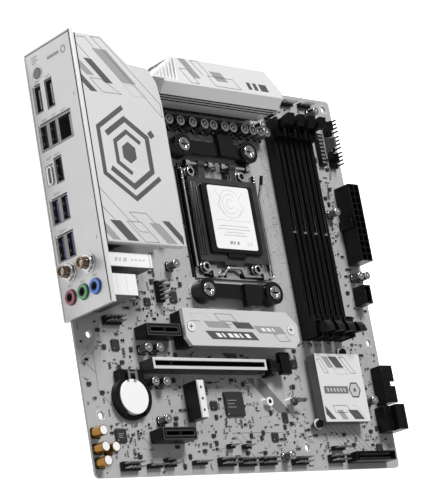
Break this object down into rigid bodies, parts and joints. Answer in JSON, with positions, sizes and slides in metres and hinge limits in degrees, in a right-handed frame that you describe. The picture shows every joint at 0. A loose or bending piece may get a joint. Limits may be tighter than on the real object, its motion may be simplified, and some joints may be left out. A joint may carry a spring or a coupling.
{
  "type": "motherboard",
  "caption": "Micro-ATX computer mainboard with shielded rear ports, white heatsinks, processor socket, memory and expansion slots, and working latches.",
  "frame": {"origin": "centre of the bounding box seen from above, on the plane that the solder side rests on", "axes": "+Z out of the component side, +X from the rear port edge to the connector edge, +Y towards the top edge with the processor power connector"},
  "size_m": [0.254, 0.245, 0.0426],
  "materials": {
    "board_laminate": "satin silver solder mask",
    "shield_steel": "fine satin",
    "silver_paint": "satin pearl white",
    "thermal_pad": "matt",
    "choke_grey": "moulded ferrite",
    "can_aluminium": "satin can",
    "gold_can": "gold sleeve",
    "black_plastic": "fine moulded texture",
    "grey_plastic": "satin",
    "white_plastic": "smooth",
    "spring_steel": "nickel plated",
    "dark_steel": "black nickel",
    "brass_standoff": "nickel plated",
    "gold_plated_brass": "polished",
    "chip_epoxy": "matt epoxy",
    "cell_steel": "satin",
    "port_steel": "tinned",
    "solder": "bright solder"
  },
  "bodies": {
    "board": {"antenna_connectors": "gold_plated_brass", "atx_power_connector": "black_plastic", "audio_capacitors": "gold_can", "audio_jacks": "white_plastic", "battery_holder": "black_plastic", "chipset": "chip_epoxy", "chipset_heatsink": "silver_paint", "coin_cell": "cell_steel", "cooler_bracket_screws": "spring_steel", "cooler_brackets": "black_plastic", "cpu_power_connector": "black_plastic", "cpu_socket": "black_plastic", "dimm_slot_1": "black_plastic", "dimm_slot_2": "black_plastic", "dimm_slot_3": "black_plastic", "dimm_slot_4": "black_plastic", "display_ports": "port_steel", "header_bases": "black_plastic", "heatsink_push_pins": "black_plastic", "ic_packages": "chip_epoxy", "io_cover": "silver_paint", "io_shield": "shield_steel", "lan_port": "port_steel", "m2_heatsink": "silver_paint", "m2_heatsink_screws": "spring_steel", "m2_socket_lower": "black_plastic", "m2_socket_upper": "black_plastic", "m2_standoffs": "brass_standoff", "pcb": "board_laminate", "pcie_x16_shield": "shield_steel", "pcie_x16_slot": "black_plastic", "pcie_x1_slots": "black_plastic", "polymer_capacitors": "can_aluminium", "power_chokes": "choke_grey", "sata_ports": "black_plastic", "socket_backplate": "spring_steel", "socket_frame": "spring_steel", "socket_screws": "spring_steel", "solder_tails": "solder", "usb3_header": "black_plastic", "usb_c_header": "black_plastic", "usb_ports": "port_steel", "vrm_heatsink_left": "silver_paint", "vrm_heatsink_top": "silver_paint", "vrm_thermal_pads": "thermal_pad", "wireless_module": "white_plastic"},
    "load_lever": {"load_lever": "spring_steel"},
    "load_plate": {"load_plate": "dark_steel", "socket_cap": "black_plastic"},
    "pcie_latch": {"pcie_x16_latch": "black_plastic"},
    "m2_clip": {"m2_clip": "grey_plastic"},
    "rear_button": {"rear_button": "grey_plastic"},
    "latch_top_1": {"dimm_latch_top_1": "black_plastic"},
    "latch_bottom_1": {"dimm_latch_bottom_1": "black_plastic"},
    "latch_top_2": {"dimm_latch_top_2": "black_plastic"},
    "latch_bottom_2": {"dimm_latch_bottom_2": "black_plastic"},
    "latch_top_3": {"dimm_latch_top_3": "black_plastic"},
    "latch_bottom_3": {"dimm_latch_bottom_3": "black_plastic"},
    "latch_top_4": {"dimm_latch_top_4": "black_plastic"},
    "latch_bottom_4": {"dimm_latch_bottom_4": "black_plastic"}
  },
  "joints": [
    {"name": "lever_hinge", "type": "hinge", "parent": "board", "child": "load_lever", "pos_m": [0.0126, -0.00403, 0.0062], "axis": [1, 0, 0], "range_deg": [0, 120]},
    {"name": "plate_hinge", "type": "hinge", "parent": "board", "child": "load_plate", "pos_m": [0.0106, 0.06457, 0.008], "axis": [-1, 0, 0], "range_deg": [0, 100]},
    {"name": "latch_top_1_hinge", "type": "hinge", "parent": "board", "child": "latch_top_1", "pos_m": [0.064, 0.09437, 0.0082], "axis": [-1, 0, 0], "range_deg": [0, 30]},
    {"name": "latch_bottom_1_hinge", "type": "hinge", "parent": "board", "child": "latch_bottom_1", "pos_m": [0.064, -0.03723, 0.0082], "axis": [1, 0, 0], "range_deg": [0, 30]},
    {"name": "latch_top_2_hinge", "type": "hinge", "parent": "board", "child": "latch_top_2", "pos_m": [0.0733, 0.09437, 0.0082], "axis": [-1, 0, 0], "range_deg": [0, 30]},
    {"name": "latch_bottom_2_hinge", "type": "hinge", "parent": "board", "child": "latch_bottom_2", "pos_m": [0.0733, -0.03723, 0.0082], "axis": [1, 0, 0], "range_deg": [0, 30]},
    {"name": "latch_top_3_hinge", "type": "hinge", "parent": "board", "child": "latch_top_3", "pos_m": [0.0826, 0.09437, 0.0082], "axis": [-1, 0, 0], "range_deg": [0, 30]},
    {"name": "latch_bottom_3_hinge", "type": "hinge", "parent": "board", "child": "latch_bottom_3", "pos_m": [0.0826, -0.03723, 0.0082], "axis": [1, 0, 0], "range_deg": [0, 30]},
    {"name": "latch_top_4_hinge", "type": "hinge", "parent": "board", "child": "latch_top_4", "pos_m": [0.0919, 0.09437, 0.0082], "axis": [-1, 0, 0], "range_deg": [0, 30]},
    {"name": "latch_bottom_4_hinge", "type": "hinge", "parent": "board", "child": "latch_bottom_4", "pos_m": [0.0919, -0.03723, 0.0082], "axis": [1, 0, 0], "range_deg": [0, 30]},
    {"name": "pcie_latch_hinge", "type": "hinge", "parent": "board", "child": "pcie_latch", "pos_m": [0.0222, -0.06113, 0.0078], "axis": [0, 1, 0], "range_deg": [0, 18]},
    {"name": "m2_clip_hinge", "type": "hinge", "parent": "board", "child": "m2_clip", "pos_m": [0.0403, -0.08103, 0.0086], "axis": [0, 0, 1], "range_deg": [0, 90]},
    {"name": "button_slide", "type": "slide", "parent": "board", "child": "rear_button", "axis": [1, 0, 0], "range_m": [0, 0.0014], "stiffness_N_per_m": 300}
  ]
}
